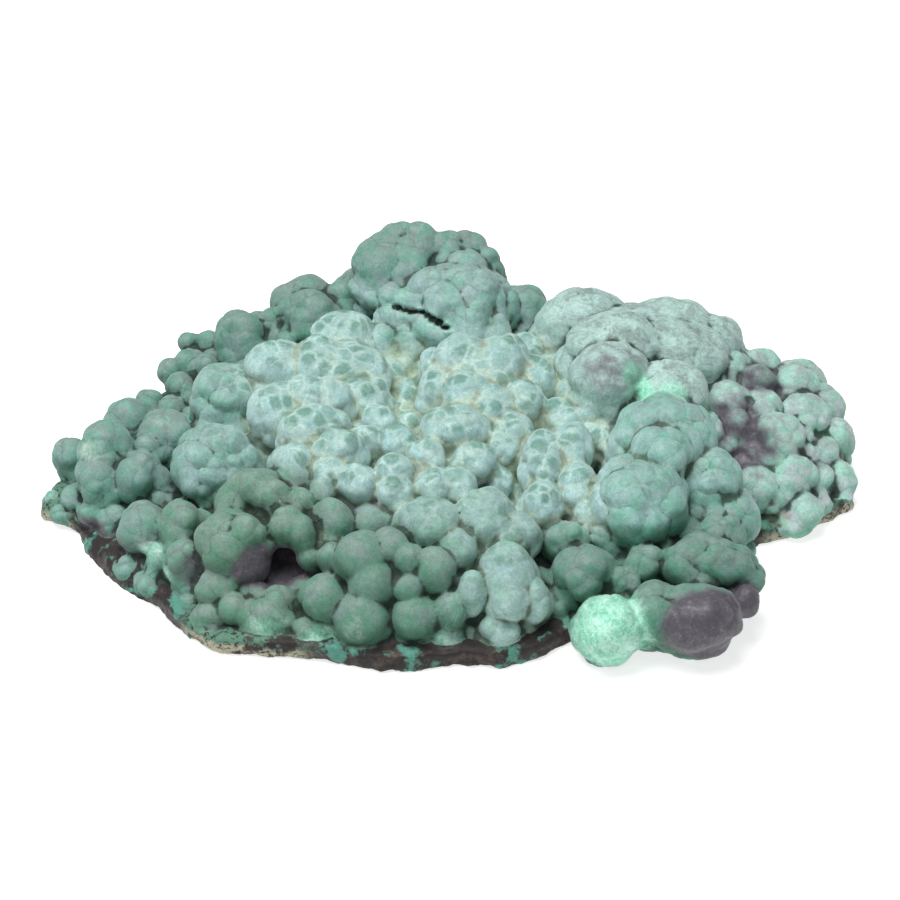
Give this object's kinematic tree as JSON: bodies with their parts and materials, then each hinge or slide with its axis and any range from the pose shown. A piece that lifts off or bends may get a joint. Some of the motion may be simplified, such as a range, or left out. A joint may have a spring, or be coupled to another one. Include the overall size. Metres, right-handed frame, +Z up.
{
  "type": "malachite specimen",
  "caption": "Botryoidal malachite mineral specimen: rounded green knobs grown together over a thin plate of host rock, resting on its flat underside.",
  "frame": {"origin": "on the flat resting face, under the middle of the specimen", "axes": "+X along the specimen's length, +Y from its front to its back, +Z up from the resting face"},
  "size_m": [0.248, 0.169, 0.0595],
  "materials": {
    "malachite": "matte"
  },
  "bodies": {
    "root": {"malachite_specimen": "malachite"}
  },
  "joints": []
}
